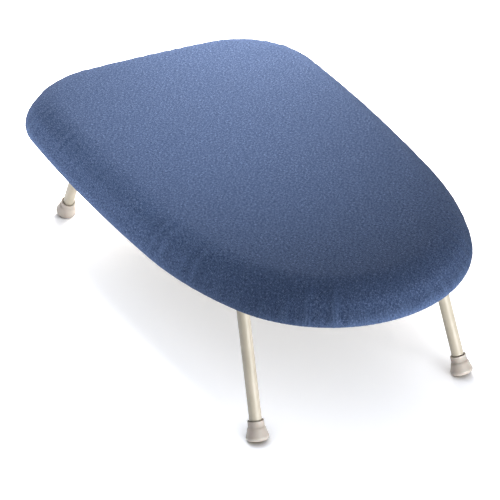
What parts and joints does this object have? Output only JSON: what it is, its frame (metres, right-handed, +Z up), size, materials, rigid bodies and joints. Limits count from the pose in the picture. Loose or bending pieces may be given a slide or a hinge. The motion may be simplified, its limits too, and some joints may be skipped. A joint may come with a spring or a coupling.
{
  "type": "tabletop ironing board",
  "caption": "Tabletop ironing board: a padded, fabric-covered top with a rounded nose and a broad back, on two U-shaped tube legs that fold flat into its underside.",
  "frame": {"origin": "centre of the bounding box at its base, so on the table, midway between the nose and the back edge", "axes": "+X towards the rounded nose, +Y across the board, +Z up; left and right are as seen from the nose, so left is the -Y side"},
  "size_m": [0.6, 0.3704, 0.185],
  "materials": {
    "cover_fabric": "matte",
    "elastic": "matte",
    "foam": "matte",
    "painted_steel": "satin",
    "leg_paint": "satin",
    "rivet_steel": "satin",
    "foot_plastic": "satin",
    "clip_plastic": "satin"
  },
  "bodies": {
    "board": {"cover": "cover_fabric", "hem_elastic": "elastic", "foam_pad": "foam", "mesh_panel": "painted_steel", "rim_wire": "painted_steel", "front_rail": "painted_steel", "front_leg_bracket_left": "painted_steel", "front_leg_bracket_right": "painted_steel", "front_rivet_left_inner": "rivet_steel", "front_rivet_left_outer": "rivet_steel", "front_rivet_right_inner": "rivet_steel", "front_rivet_right_outer": "rivet_steel", "rear_rail": "painted_steel", "rear_leg_bracket_left": "painted_steel", "rear_leg_bracket_right": "painted_steel", "rear_rivet_left_inner": "rivet_steel", "rear_rivet_left_outer": "rivet_steel", "rear_rivet_right_inner": "rivet_steel", "rear_rivet_right_outer": "rivet_steel", "front_stow_clip_left": "clip_plastic", "front_stow_clip_left_rivet": "rivet_steel", "front_stow_clip_right": "clip_plastic", "front_stow_clip_right_rivet": "rivet_steel", "rear_stow_clip_left": "clip_plastic", "rear_stow_clip_left_rivet": "rivet_steel", "rear_stow_clip_right": "clip_plastic", "rear_stow_clip_right_rivet": "rivet_steel"},
    "front_leg": {"front_leg_tube": "leg_paint", "front_foot_left": "foot_plastic", "front_foot_right": "foot_plastic"},
    "rear_leg": {"rear_leg_tube": "leg_paint", "rear_foot_left": "foot_plastic", "rear_foot_right": "foot_plastic"}
  },
  "joints": [
    {"name": "front_leg_fold", "type": "hinge", "parent": "board", "child": "front_leg", "pos_m": [0.16716, 0, 0.1581], "axis": [0, 1, 0], "range_deg": [0, 113.5]},
    {"name": "rear_leg_fold", "type": "hinge", "parent": "board", "child": "rear_leg", "pos_m": [-0.19676, 0, 0.1581], "axis": [0, -1, 0], "range_deg": [0, 113.5]}
  ]
}
